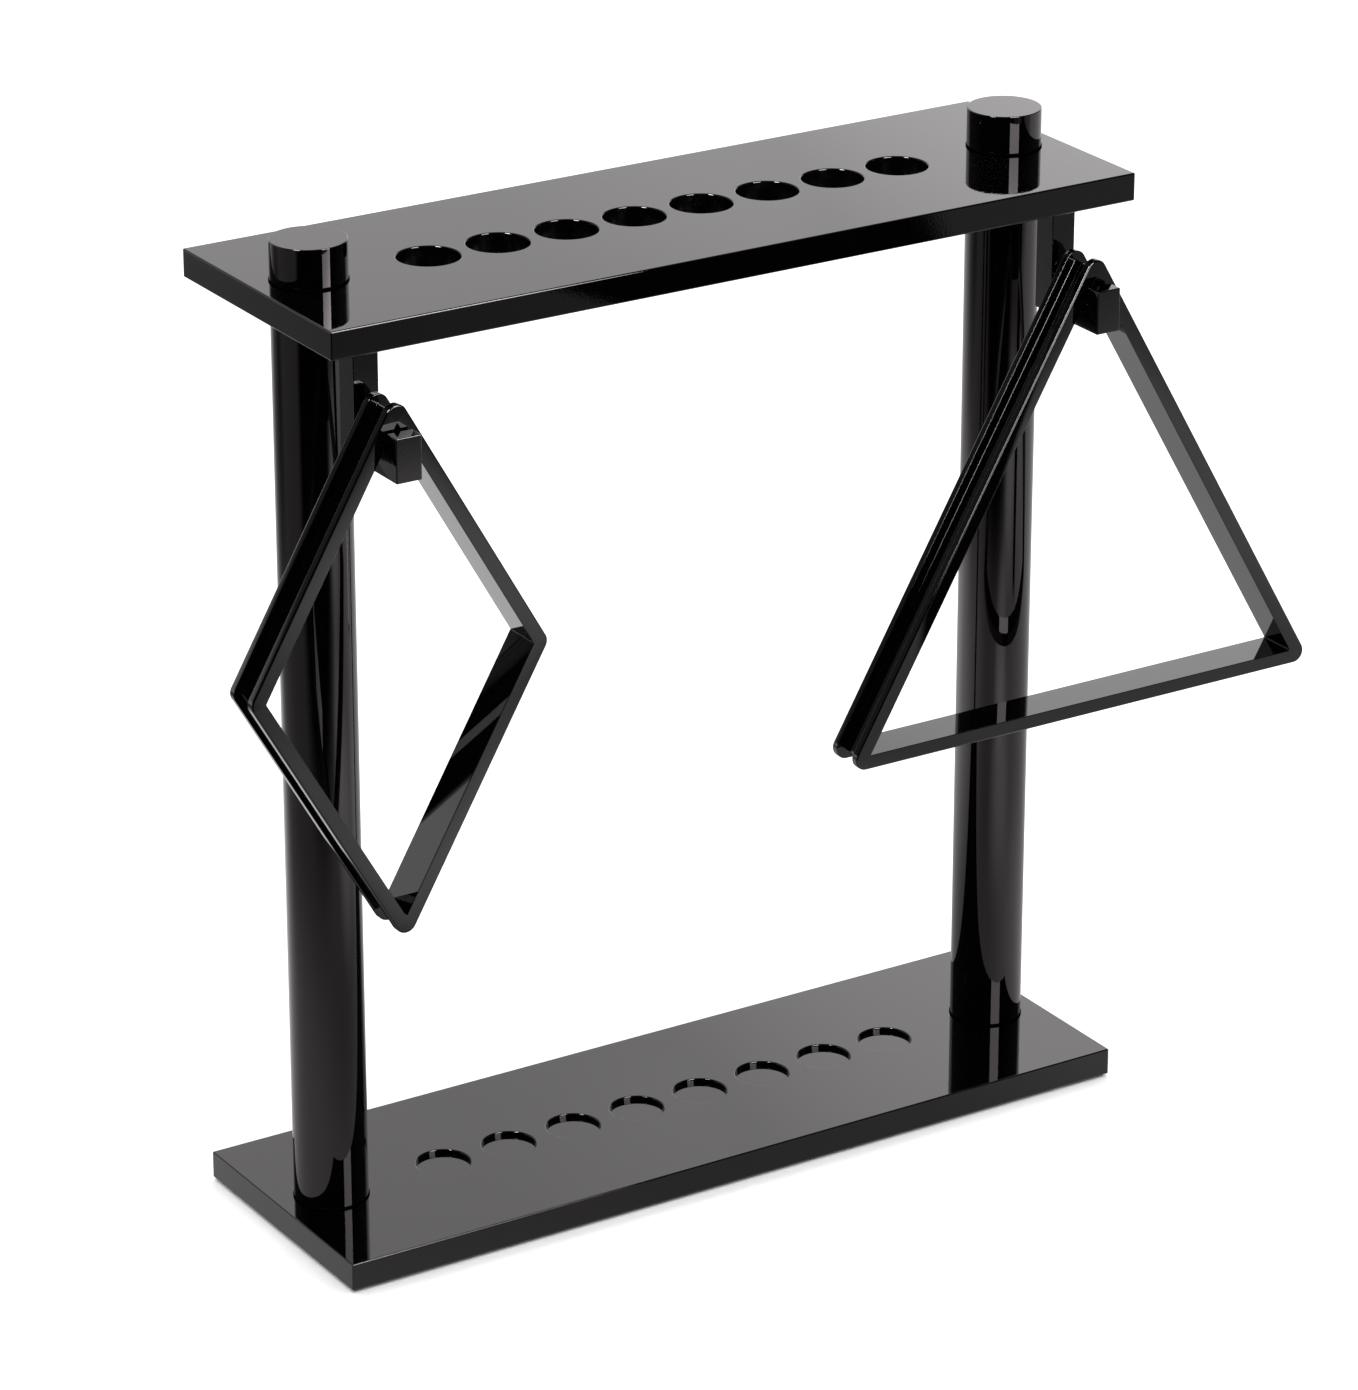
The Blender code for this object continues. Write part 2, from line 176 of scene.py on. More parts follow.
def ring(bm, radius, height, sides, x=0.0, y=0.0, wave=None):
    """One ring of vertices round a vertical axis; wave(angle) adds to the radius."""
    verts = []
    for step in range(sides):
        angle = 2 * math.pi * step / sides
        reach = radius + (wave(angle) if wave else 0.0)
        verts.append(bm.verts.new((x + reach * math.cos(angle), y + reach * math.sin(angle), height)))
    return verts


def turned(bm, profile, sides, x=0.0, y=0.0, closed=False):
    """Solid of revolution from (radius, height) points; open ends become flat discs."""
    skin(bm, [ring(bm, radius, height, sides, x, y) for radius, height in profile], closed)


def threaded(bm, radius, depth, pitch, low, high, x, y):
    """Rings of a helical thread between two heights, fading in and out over one turn."""
    count = max(2, round((high - low) / pitch * THREAD_STEPS))
    rings = []
    for step in range(count + 1):
        height = low + (high - low) * step / count
        fade = min(1.0, (height - low) / pitch, (high - height) / pitch)

        def groove(angle, height=height, fade=fade):
            phase = (height / pitch - angle / (2 * math.pi)) % 1.0
            return -depth * fade * abs(2 * phase - 1)

        rings.append(ring(bm, radius, height, HARDWARE_SIDES, x, y, groove))
    return rings


def to_object(name, bm, mat):
    """Link the bmesh as a smooth object with its faces turned outwards."""
    bmesh.ops.recalc_face_normals(bm, faces=bm.faces)
    mesh = bpy.data.meshes.new(name)
    bm.to_mesh(mesh)
    bm.free()
    mesh.shade_smooth()
    if mat:
        mesh.materials.append(mat)
    obj = bpy.data.objects.new(name, mesh)
    bpy.context.scene.collection.objects.link(obj)
    return obj


def carve(obj, cutter_bm, ease, bore_shade_mat=None):
    """Cut the bores out of a blank and round its outward edges; the bottoms of bores stay crisp.

    The walls of upright bores take bore_shade_mat, the cue holes' painted shade, when one is given.
    """
    cutter = to_object(obj.name + "_cutter", cutter_bm, None)
    boolean = obj.modifiers.new("Bores", "BOOLEAN")
    boolean.operation = "DIFFERENCE"
    boolean.solver = "EXACT"
    boolean.object = cutter
    evaluated = obj.evaluated_get(bpy.context.evaluated_depsgraph_get())
    mesh = bpy.data.meshes.new_from_object(evaluated)
    obj.modifiers.clear()
    bm = bmesh.new()
    bm.from_mesh(mesh)
    corners = [edge for edge in bm.edges if edge.is_convex and edge.calc_face_angle(0.0) > ROUNDED_TURN]
    bmesh.ops.bevel(bm, geom=corners, offset=ease, segments=EASE_STEPS, profile=0.5, affect="EDGES",
                    clamp_overlap=True)
    if bore_shade_mat:
        mesh.materials.append(bore_shade_mat)
        bm.normal_update()
        for face in bm.faces:
            upright = abs(face.normal.z) < UPRIGHT_SLOPE
            inside = abs(face.calc_center_median().y) < BORE_REACH
            if upright and inside and face.calc_area() < BORE_FACET:
                face.material_index = len(mesh.materials) - 1
    bm.to_mesh(mesh)
    bm.free()
    obj.data = mesh
    mesh.shade_smooth()
    bpy.data.objects.remove(cutter)


def settle(obj, body, node, sharp=SHARP_TURN):
    """Mark the corners, let the large faces set the shading, and stand for the CAD node on its body."""
    obj.data.set_sharp_from_angle(angle=math.radians(sharp))
    modifier = obj.modifiers.new("Normals", "WEIGHTED_NORMAL")
    modifier.keep_sharp = True
    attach(obj, body)
    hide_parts(node)


def middle(node):
    """Centre of a CAD node's box."""
    low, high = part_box(node)
    return (low + high) / 2


# ---------------------------------------------------------------- procedural finishes
def smooth_range(tree, source, low, high, out_low, out_high):
    """Output of a node that maps one range onto another along an S-shaped curve."""
    node = tree.nodes.new("ShaderNodeMapRange")
    node.interpolation_type = "SMOOTHSTEP"
    for key, value in zip(("From Min", "From Max", "To Min", "To Max"), (low, high, out_low, out_high)):
        node.inputs[key].default_value = value
    tree.links.new(source, node.inputs["Value"])
    return node.outputs["Result"]


class Recipe:
    """Small helper that builds one node material round a Principled shader."""

    def __init__(self, name):
        self.mat = bpy.data.materials.new(name)
        self.mat.use_nodes = True
        self.tree = self.mat.node_tree
        self.shader = self.tree.nodes["Principled BSDF"]
        self.place = self.tree.nodes.new("ShaderNodeTexCoord").outputs["Object"]
        self.bumps = None

    def set(self, **values):
        """Constants on the shader's own sockets."""
        for key, value in values.items():
            self.shader.inputs[key.replace("_", " ")].default_value = value
        return self

    def link(self, source, target):
        self.tree.links.new(source, target)

    def stretched(self, scale):
        """Object coordinates scaled along each axis."""
        node = self.tree.nodes.new("ShaderNodeMapping")
        node.inputs["Scale"].default_value = scale
        self.link(self.place, node.inputs["Vector"])
        return node.outputs["Vector"]

    def noise(self, scale, detail=2.0, rough=0.5, where=None):
        """Noise with scale features to the metre."""
        node = self.tree.nodes.new("ShaderNodeTexNoise")
        node.inputs["Scale"].default_value = scale
        node.inputs["Detail"].default_value = detail
        node.inputs["Roughness"].default_value = rough
        self.link(where or self.place, node.inputs["Vector"])
        return node.outputs["Fac"]

    def range(self, source, low, high, out_low, out_high):
        return smooth_range(self.tree, source, low, high, out_low, out_high)

    def colours(self, source, dark, light):
        """Base colour between two linear colours."""
        node = self.tree.nodes.new("ShaderNodeMix")
        node.data_type = "RGBA"
        node.inputs["A"].default_value = (*dark, 1.0)
        node.inputs["B"].default_value = (*light, 1.0)
        self.link(source, node.inputs["Factor"])
        self.link(node.outputs["Result"], self.shader.inputs["Base Color"])

    def roughness(self, source, low, high, rough):
        """Roughness over the range rough while the source goes from low to high."""
        self.link(self.range(source, low, high, *rough), self.shader.inputs["Roughness"])

    def bump(self, source, height):
        """One more layer of relief; height is its full depth in metres."""
        node = self.tree.nodes.new("ShaderNodeBump")
        node.inputs["Distance"].default_value = height
        node.inputs["Strength"].default_value = 1.0
        self.link(source, node.inputs["Height"])
        if self.bumps:
            self.link(self.bumps, node.inputs["Normal"])
        self.bumps = node.outputs["Normal"]
        self.link(self.bumps, self.shader.inputs["Normal"])


def lacquer(name, peel, wave, rough, tint):
    """Polished black lacquer: fine orange peel over long shallow waves, with faint polishing haze."""
    recipe = Recipe(name).set(IOR=1.52, Specular_Tint=(*tint, 1.0))
    recipe.colours(recipe.noise(60.0, 3.0), (0.0004, 0.0003, 0.0004), (0.0011, 0.0008, 0.0010))
    recipe.roughness(recipe.noise(38.0, 4.0, 0.6), 0.35, 0.75, rough)
    recipe.bump(recipe.noise(22.0, 1.0), wave)
    recipe.bump(recipe.noise(560.0, 1.5), peel)
    return recipe.mat


def painted_shade_bore(name):
    """Inside of the cue holes: the same black, sprayed and never polished, its reflection cut almost away
    as painted shade that keeps the holes dark.
    """
    # painted shade: the walls reflect far less than the lacquer does, so the cue holes stay dark
    recipe = Recipe(name).set(IOR=1.52, Specular_IOR_Level=0.12)
    recipe.colours(recipe.noise(120.0, 3.0), (0.0003, 0.0003, 0.0003), (0.0009, 0.0007, 0.0008))
    recipe.roughness(recipe.noise(200.0, 3.0), 0.3, 0.7, (0.16, 0.28))
    recipe.bump(recipe.noise(300.0, 2.0), 10e-6)
    return recipe.mat


def moulded(name):
    """Gloss black moulding: flow waves from the mould and a trace of texture."""
    recipe = Recipe(name).set(IOR=1.50)
    recipe.colours(recipe.noise(90.0, 2.0), (0.0005, 0.0004, 0.0005), (0.0013, 0.0010, 0.0012))
    recipe.roughness(recipe.noise(55.0, 3.0), 0.35, 0.7, (0.015, 0.035))
    recipe.bump(recipe.noise(30.0, 1.0), 10e-6)
    recipe.bump(recipe.noise(700.0, 2.0), 1.6e-6)
    return recipe.mat


def metal(name, dark, light, rough):
    """Plated or turned metal with fine lathe lines and blotches of wear."""
    recipe = Recipe(name).set(Metallic=1.0)
    blotches = recipe.noise(260.0, 4.0, 0.6)
    recipe.colours(blotches, dark, light)
    recipe.roughness(blotches, 0.3, 0.7, rough)
    recipe.bump(recipe.noise(120.0, 2.0, 0.5, recipe.stretched((1.0, 1.0, 30.0))), 20e-6)
    return recipe.mat


def rubber(name):
    """Matt black rubber with a fine grain."""
    recipe = Recipe(name).set(IOR=1.5, Specular_IOR_Level=0.0)
    recipe.colours(recipe.noise(400.0, 3.0), (0.0007, 0.0007, 0.0007), (0.0015, 0.0015, 0.0015))
    recipe.roughness(recipe.noise(500.0, 3.0), 0.3, 0.7, (0.5, 0.7))
    recipe.bump(recipe.noise(1500.0, 2.0), 20e-6)
    return recipe.mat


def beech(name):
    """Bare beech with the grain along the dowel."""
    recipe = Recipe(name)
    grain = recipe.noise(240.0, 5.0, 0.6, recipe.stretched((1.0, 1.0, 0.08)))
    recipe.colours(recipe.range(grain, 0.3, 0.7, 0.0, 1.0), (0.43, 0.26, 0.13), (0.66, 0.47, 0.28))
    recipe.roughness(grain, 0.3, 0.7, (0.5, 0.7))
    recipe.bump(grain, 120e-6)
    return recipe.mat


def felt(name):
    """Pressed black felt: matted fibres in two sizes."""
    recipe = Recipe(name).set(Sheen_Weight=0.35, Sheen_Roughness=0.5, Roughness=0.95)
    fibres = recipe.noise(1400.0, 6.0, 0.7, recipe.stretched((1.0, 0.25, 1.0)))
    clumps = recipe.noise(180.0, 3.0, 0.6)
    recipe.colours(clumps, (0.006, 0.006, 0.006), (0.022, 0.021, 0.022))
    recipe.bump(clumps, 300e-6)
    recipe.bump(fibres, 300e-6)
    return recipe.mat


BOARD_TINT = (1.0, 0.97, 0.985)
COLUMN_TINT = (1.0, 0.94, 0.975)
PLATE_FINISH = lacquer("plate_gloss", peel=8.5e-6, wave=16e-6, rough=(0.012, 0.028), tint=BOARD_TINT)
COLUMN_FINISH = lacquer("column_gloss", peel=9e-6, wave=10e-6, rough=(0.012, 0.028), tint=COLUMN_TINT)
# painted shade for the walls of the cue holes
BORE_PAINTED_SHADE = painted_shade_bore("bore_painted_shade")
HOOK_FINISH = lacquer("hook_gloss", peel=8.5e-6, wave=16e-6, rough=(0.020, 0.045), tint=BOARD_TINT)
RACK_FINISH = moulded("rack_gloss")
ZINC = metal("zinc_plate", dark=(0.46, 0.48, 0.52), light=(0.70, 0.71, 0.72), rough=(0.26, 0.42))
BRASS = metal("turned_brass", dark=(0.55, 0.38, 0.14), light=(0.78, 0.60, 0.28), rough=(0.20, 0.34))
RING_RUBBER = rubber("washer_rubber")
BEECH = beech("bare_beech")
FELT = felt("pressed_felt")


# ---------------------------------------------------------------- plates
def cue_positions():
    """X of each cue's hole and recess."""
    first = -CUE_PITCH * (CUE_COUNT - 1) / 2
    return [first + CUE_PITCH * station for station in range(CUE_COUNT)]


def blank(node, mat):
    """A box the size of the CAD node."""
    low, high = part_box(node)
    bm = bmesh.new()
    verts = bmesh.ops.create_cube(bm, size=1.0)["verts"]
    bmesh.ops.scale(bm, vec=high - low, verts=verts)
    bmesh.ops.translate(bm, vec=(low + high) / 2, verts=verts)
    return to_object("fine_" + node, bm, mat)


def base_plate():
    """Board with the recesses on top and a counterbored bolt hole under each column."""
    low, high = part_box("base_plate")
    floor_of_rest = high.z - REST_DEPTH
    ledge = low.z + COUNTERBORE_DEPTH
    cutter = bmesh.new()
    for x in cue_positions():
        turned(cutter, [(REST_RADIUS, floor_of_rest), (REST_RADIUS, high.z + CUT_PAST)], HOLE_SIDES, x)
    for side in SIDES:
        profile = [(COUNTERBORE_RADIUS, low.z - CUT_PAST), (COUNTERBORE_RADIUS, ledge),
                   (BOLT_RADIUS + GAP, ledge), (BOLT_RADIUS + GAP, high.z + CUT_PAST)]
        turned(cutter, profile, COUNTERBORE_SIDES, middle("column_" + side).x)
    obj = blank("base_plate", PLATE_FINISH)
    carve(obj, cutter, PLATE_EASE)
    settle(obj, "stand", "base_plate")


def top_plate():
    """Board with the cue holes, a stud hole at each column and a dowel socket over each hook."""
    low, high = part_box("top_plate")
    bottom, top = low.z - CUT_PAST, high.z + CUT_PAST
    cutter = bmesh.new()
    for x in cue_positions():
        turned(cutter, [(CUE_HOLE_RADIUS, bottom), (CUE_HOLE_RADIUS, top)], HOLE_SIDES, x)
    for side in SIDES:
        stud_hole = BOLT_RADIUS + GAP
        turned(cutter, [(stud_hole, bottom), (stud_hole, top)], HARDWARE_SIDES, middle("column_" + side).x)
        dowel = middle("hook_dowel_" + side)
        socket, socket_top = DOWEL_RADIUS + GAP, low.z + DOWEL_LENGTH / 2 + GAP
        turned(cutter, [(socket, bottom), (socket, socket_top)], HARDWARE_SIDES, dowel.x, dowel.y)
    obj = blank("top_plate", PLATE_FINISH)
    # the walls of the cue holes take the painted shade
    carve(obj, cutter, PLATE_EASE, BORE_PAINTED_SHADE)
    settle(obj, "stand", "top_plate")


def felt_liner():
    """Felt under the base, its surface slightly uneven and its cut edge softened."""
    low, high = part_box("felt_liner")
    bm = bmesh.new()
    rims = []
    for height, inward in ((low.z, 1.0), (high.z, -1.0)):
        grid = []
        for row in range(FELT_ROWS + 1):
            y = low.y + (high.y - low.y) * row / FELT_ROWS
            line = []
            for column in range(FELT_COLUMNS + 1):
                x = low.x + (high.x - low.x) * column / FELT_COLUMNS
                # two crossing waves, each about 2 cm long
                dent = FELT_DENT * (1 + math.sin(310 * x + 170 * y) * math.sin(260 * y - 90 * x))
                line.append(bm.verts.new((x, y, height + inward * dent)))
            grid.append(line)
        for near, far in zip(grid, grid[1:]):
            for column in range(FELT_COLUMNS):
                bm.faces.new((near[column], near[column + 1], far[column + 1], far[column]))
        rims.append(grid[0][:-1] + [line[-1] for line in grid[:-1]]
                    + grid[-1][:0:-1] + [line[0] for line in grid[:0:-1]])
    bridge(bm, *rims)
    obj = to_object("fine_felt_liner", bm, FELT)
    cutter = bmesh.new()
    for side in SIDES:
        profile = [(COUNTERBORE_RADIUS, low.z - CUT_PAST), (COUNTERBORE_RADIUS, high.z + CUT_PAST)]
        turned(cutter, profile, COUNTERBORE_SIDES, middle("column_" + side).x)
    carve(obj, cutter, FELT_EASE)
    settle(obj, "stand", "felt_liner")


# ---------------------------------------------------------------- columns, caps and hardware
def turned_piece(node, bores, top_ease):
    """Polished cylinder as tall as its CAD node, with stepped bores in its ends.

    Each bore is (mouth, inward, depth), inward being +1 for a bore that runs up.
    """
    low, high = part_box(node)
    centre = (low + high) / 2
    radius = (high.x - low.x) / 2
    corners = [(0.0, low.z, 0.0), (radius, low.z, SEAM_EASE),
               (radius, high.z, top_ease), (0.0, high.z, 0.0)]
    on_axis = slice(1, -1)
    bm = bmesh.new()
    turned(bm, fillet(corners, EASE_STEPS)[on_axis], COLUMN_SIDES, centre.x, centre.y)
    obj = to_object("fine_" + node, bm, COLUMN_FINISH)
    cutter = bmesh.new()
    for mouth, inward, depth in bores:
        outside = mouth - inward * CUT_PAST
        socket = mouth + inward * (INSERT_LENGTH + 2 * GAP)
        end = mouth + inward * depth
        profile = [(INSERT_RADIUS + GAP, outside), (INSERT_RADIUS + GAP, socket),
                   (BOLT_RADIUS + GAP, socket), (BOLT_RADIUS + GAP, end)]
        turned(cutter, profile, HARDWARE_SIDES, centre.x, centre.y)
    carve(obj, cutter, BORE_EASE)
    settle(obj, "stand", node)


def column(side):
    """Column with a bore at each end for an insert and the screw behind it."""
    node = "column_" + side
    low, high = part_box(node)
    turned_piece(node, [(low.z, 1, COLUMN_FOOT_BORE), (high.z, -1, COLUMN_TOP_BORE)], SEAM_EASE)


def cap(side):
    """Cap, bored from below."""
    node = "cap_" + side
    turned_piece(node, [(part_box(node)[0].z, 1, CAP_BORE)], TURNED_EASE)


def flat_ring(node, inset, mat, ease, sides):
    """Washer or bead: a flat ring with rounded edges, as thick as its CAD node."""
    low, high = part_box(node)
    centre = (low + high) / 2
    outer = (high.x - low.x) / 2 - inset
    inner = BOLT_RADIUS + GAP
    corners = [(inner, low.z, ease / 2), (outer, low.z, ease),
               (outer, high.z, ease), (inner, high.z, ease / 2)]
    bm = bmesh.new()
    turned(bm, fillet(corners, EASE_STEPS), sides, centre.x, centre.y, closed=True)
    settle(to_object("fine_" + node, bm, mat), "stand", node)


def base_bolt(side):
    """Hexagon bolt, head down, with a washer face, a chamfered head and a threaded tip."""
    node = "base_bolt_" + side
    low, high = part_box(node)
    centre = (low + high) / 2
    corner = (high.x - low.x) / 2
    flat = corner * math.cos(math.pi / 6)
    head_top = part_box("base_washer_" + side)[0].z - GAP
    washer_face = 0.0003
    washer_face_inset = 0.0002
    tip_taper = 0.0009
    bm = bmesh.new()

    def hexagon(angle):
        """From the corner radius to the hexagon's outline, which is never outside it."""
        turn = (angle % (math.pi / 3)) - math.pi / 6
        return flat / math.cos(turn) - corner

    def loop(radius, height, wave=None):
        return ring(bm, radius, height, HARDWARE_SIDES, centre.x, centre.y, wave)

    rings = [
        loop(flat - HEAD_CHAMFER, low.z),
        loop(corner, low.z + HEAD_CHAMFER, hexagon),
        loop(corner, head_top - washer_face, hexagon),
        loop(flat - washer_face_inset, head_top),
        loop(BOLT_RADIUS, head_top),
    ]
    rings += threaded(bm, BOLT_RADIUS, BOLT_THREAD_DEPTH, BOLT_THREAD_PITCH,
                      high.z - BOLT_THREAD_LENGTH, high.z - THREAD_LEAD, centre.x, centre.y)
    rings.append(loop(BOLT_RADIUS - tip_taper, high.z))
    skin(bm, rings)
    settle(to_object("fine_" + node, bm, ZINC), "stand", node, SHARP_THREAD_TURN)


def top_stud(side):
    """Double-ended stud: threads in the column's insert and in the cap's, plain between."""
    node = "top_stud_" + side
    low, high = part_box(node)
    centre = (low + high) / 2
    bm = bmesh.new()
    rings = [ring(bm, BOLT_RADIUS - THREAD_LEAD, low.z, HARDWARE_SIDES, centre.x, centre.y)]
    for start, end in ((low.z + THREAD_LEAD, low.z + STUD_THREAD_LENGTH),
                       (high.z - STUD_THREAD_LENGTH, high.z - THREAD_LEAD)):
        rings += threaded(bm, BOLT_RADIUS, BOLT_THREAD_DEPTH, BOLT_THREAD_PITCH, start, end,
                          centre.x, centre.y)
    rings.append(ring(bm, BOLT_RADIUS - THREAD_LEAD, high.z, HARDWARE_SIDES, centre.x, centre.y))
    skin(bm, rings)
    settle(to_object("fine_" + node, bm, ZINC), "stand", node, SHARP_THREAD_TURN)


def insert(place, side):
    """Brass insert with a coarse wood thread outside and a plain, chamfered bore."""
    node = "insert_%s_%s" % (place, side)
    low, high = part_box(node)
    centre = (low + high) / 2
    shoulder = INSERT_RADIUS - 0.0005
    bore = BOLT_RADIUS + GAP
    bm = bmesh.new()
    rings = threaded(bm, INSERT_RADIUS, INSERT_THREAD_DEPTH, INSERT_THREAD_PITCH,
                     low.z + INSERT_EDGE, high.z - INSERT_EDGE, centre.x, centre.y)
    for radius, height in ((shoulder, high.z), (bore + INSERT_EDGE, high.z), (bore, high.z - INSERT_EDGE),
                           (bore, low.z + INSERT_EDGE), (bore + INSERT_EDGE, low.z), (shoulder, low.z)):
        rings.append(ring(bm, radius, height, HARDWARE_SIDES, centre.x, centre.y))
    skin(bm, rings, closed=True)
    settle(to_object("fine_" + node, bm, BRASS), "stand", node, SHARP_THREAD_TURN)


def hook_dowel(side):
    """Fluted beech dowel with tapered ends."""
    node = "hook_dowel_" + side
    low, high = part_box(node)
    centre = (low + high) / 2
    end_radius = DOWEL_RADIUS - DOWEL_TAPER * 0.6

    def flute(angle):
        return -FLUTE_DEPTH * (1 - math.cos(FLUTE_COUNT * angle))

    bm = bmesh.new()
    rings = []
    for radius, height, wave in ((end_radius, low.z, None), (DOWEL_RADIUS, low.z + DOWEL_TAPER, flute),
                                 (DOWEL_RADIUS, high.z - DOWEL_TAPER, flute), (end_radius, high.z, None)):
        rings.append(ring(bm, radius, height, DOWEL_SIDES, centre.x, centre.y, wave))
    skin(bm, rings)
    settle(to_object("fine_" + node, bm, BEECH), "stand", node, SHARP_THREAD_TURN)


# ---------------------------------------------------------------- hooks
def hook(side):
    """J-shaped hook with every edge eased by the lacquer."""
    node = "hook_" + side
    low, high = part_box(node)
    arm_top = low.z + HOOK_ARM_HEIGHT
    lip_top = low.z + HOOK_LIP_HEIGHT
    post_front = high.y - HOOK_POST_DEPTH
    lip_back = low.y + HOOK_LIP_DEPTH
    outline = [
        (high.y, low.z), (high.y, high.z), (post_front, high.z), (post_front, arm_top),
        (lip_back, arm_top), (lip_back, lip_top), (low.y, lip_top), (low.y, low.z),
    ]
    bm = bmesh.new()
    face = bm.faces.new([bm.verts.new((low.x, y, z)) for y, z in outline])
    pushed = bmesh.ops.extrude_face_region(bm, geom=[face])["geom"]
    moved = [item for item in pushed if isinstance(item, bmesh.types.BMVert)]
    bmesh.ops.translate(bm, vec=Vector((high.x - low.x, 0.0, 0.0)), verts=moved)
    obj = to_object("fine_" + node, bm, HOOK_FINISH)
    dowel = middle("hook_dowel_" + side)
    socket = DOWEL_RADIUS + GAP
    cutter = bmesh.new()
    turned(cutter, [(socket, high.z - DOWEL_LENGTH / 2), (socket, high.z + CUT_PAST)],
           HARDWARE_SIDES, dowel.x, dowel.y)
    carve(obj, cutter, HOOK_EASE)
    settle(obj, "stand", node)


# ---------------------------------------------------------------- racks
def triangle_corners(apex):
    """Inner corners for five balls to a side, between corners of 60 degrees."""
    length = BALL_DIAMETER * (4 + math.sqrt(3)) + RACK_PLAY
    across, drop = length * math.sin(HALF_APEX), length * math.cos(HALF_APEX)
    x, z = apex
    return [(x, z), (x + across, z - drop), (x - across, z - drop)]


def diamond_corners(apex):
    """Inner corners for three balls to a side, between corners of 60 and 120 degrees."""
    length = BALL_DIAMETER * (2 + (math.sqrt(3) + 1 / math.sqrt(3)) / 2) + RACK_PLAY
    across, drop = length * math.sin(HALF_APEX), length * math.cos(HALF_APEX)
    x, z = apex
    return [(x, z), (x + across, z - drop), (x, z - 2 * drop), (x - across, z - drop)]


def corner_radius(offset):
    """Radius of the rack's corners at a distance outwards from its inner faces.

    At the outer edge it is a hair over the CAD's, so the finer arc stays within the CAD's facets.
    """
    return max(SMALLEST_CORNER, offset - RACK_BAND + RACK_CORNER_RADIUS + FACET_SLACK)


def rack_outline(corners, offset):
    """Inner outline pushed outwards by the offset, with its corners rounded."""
    pushed = []
    for index, corner in enumerate(corners):
        here = Vector(corner)
        back = (Vector(corners[index - 1]) - here).normalized()
        ahead = (Vector(corners[(index + 1) % len(corners)]) - here).normalized()
        half = back.angle(ahead) / 2
        moved = here - (back + ahead).normalized() * (offset / math.sin(half))
        pushed.append((moved.x, moved.y, corner_radius(offset)))
    return fillet(pushed, CORNER_STEPS)


def rack_section(half_depth):
    """Section of the rack as (outwards, Y): flat inner wall, two rims and the channel between them."""
    front_half = [
        (0.0, -half_depth, RACK_EASE),
        (RACK_BAND, -half_depth, RACK_ROUND),
        (RACK_BAND, -half_depth + RACK_RIM, RACK_LIP),
        (RACK_WEB, -half_depth + RACK_RIM, RACK_ROOT),
    ]
    back_half = [(outwards, -y, radius) for outwards, y, radius in reversed(front_half)]
    return fillet(front_half + back_half, EASE_STEPS)


def rack(node, body, inner_corners):
    """Ball rack: its section carried round the inner outline, all edges rounded."""
    low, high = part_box(node)
    centre = (low + high) / 2
    stretch = 1 / math.sin(HALF_APEX)
    band_over_apex = RACK_BAND * stretch - RACK_CORNER_RADIUS * (stretch - 1)
    corners = inner_corners((centre.x, high.z - band_over_apex))
    bm = bmesh.new()
    rings = []
    for point in rack_section((high.y - low.y) / 2):
        outline = rack_outline(corners, point.x)
        rings.append([bm.verts.new((spot.x, centre.y + point.y, spot.y)) for spot in outline])
    skin(bm, rings, closed=True)
    settle(to_object("fine_" + node, bm, RACK_FINISH), body, node, SHARP_RACK_TURN)


# ---------------------------------------------------------------- build every piece
base_plate()
top_plate()
felt_liner()
for side in SIDES:
    column(side)
    cap(side)
    for place in ("foot", "cap"):
        flat_ring("%s_ring_%s" % (place, side), BEAD_INSET, RING_RUBBER, BEAD_EASE,
                  COLUMN_SIDES)
    flat_ring("base_washer_" + side, 0.0, ZINC, WASHER_EASE, WASHER_SIDES)
    base_bolt(side)
    top_stud(side)
    for place in ("foot", "top", "cap"):
        insert(place, side)
    hook_dowel(side)
    hook(side)
rack("triangle_rack", "triangle", triangle_corners)
rack("diamond_rack", "diamond", diamond_corners)


# ---------------------------------------------------------------- camera
VIEW_AZIMUTH = math.radians(-32.14)
VIEW_ELEVATION = math.radians(22.45)
VIEW_DISTANCE = 3.772
VIEW_LENS = 155.4
VIEW_TARGET = Vector((0.0057, -0.0036, 0.3026))


def out_from(azimuth, elevation=0.0):
    """Unit vector from the object towards a viewer at that azimuth and elevation."""
    return Vector((math.sin(azimuth) * math.cos(elevation), -math.cos(azimuth) * math.cos(elevation),
                   math.sin(elevation)))


def camera():
    """Camera at the photo's azimuth and middle elevation, without shift."""
    data = bpy.data.cameras.new("camera")
    data.lens = VIEW_LENS
    data.sensor_width = 36.0
    data.clip_end = 100.0
    obj = bpy.data.objects.new("camera", data)
    obj.location = VIEW_TARGET + out_from(VIEW_AZIMUTH, VIEW_ELEVATION) * VIEW_DISTANCE
    obj.rotation_euler = (math.pi / 2 - VIEW_ELEVATION, 0.0, VIEW_AZIMUTH)
    bpy.context.scene.collection.objects.link(obj)
    bpy.context.scene.camera = obj


# ---------------------------------------------------------------- studio
FLOOR_SIZE = 30.0
DOME_RADIUS = 3.0
# pools of light on the floor card: centre, radius of the full strength, radius where it ends, strength;
# a negative strength is a shade
FLOOR_POOLS = [
    ((0.20, -0.50, 0.0), 0.05, 0.32, 0.60),
    ((-0.42, 0.05, 0.0), 0.10, 0.50, 0.30),
    ((0.42, -0.14, 0.0), 0.05, 0.28, 0.25),
    ((0.10, -0.74, 0.0), 0.08, 0.28, 0.55),
    ((-0.20, 0.60, 0.0), 0.15, 0.60, 0.60),
    ((0.38, -1.20, 0.0), 0.10, 0.45, 0.75),
    ((0.97, -1.02, 0.0), 0.10, 0.40, 0.30),
    ((0.00, -0.12, 0.0), 0.15, 0.50, -0.15),
    ((-1.13, 1.36, 0.0), 0.30, 0.90, -0.27),
]
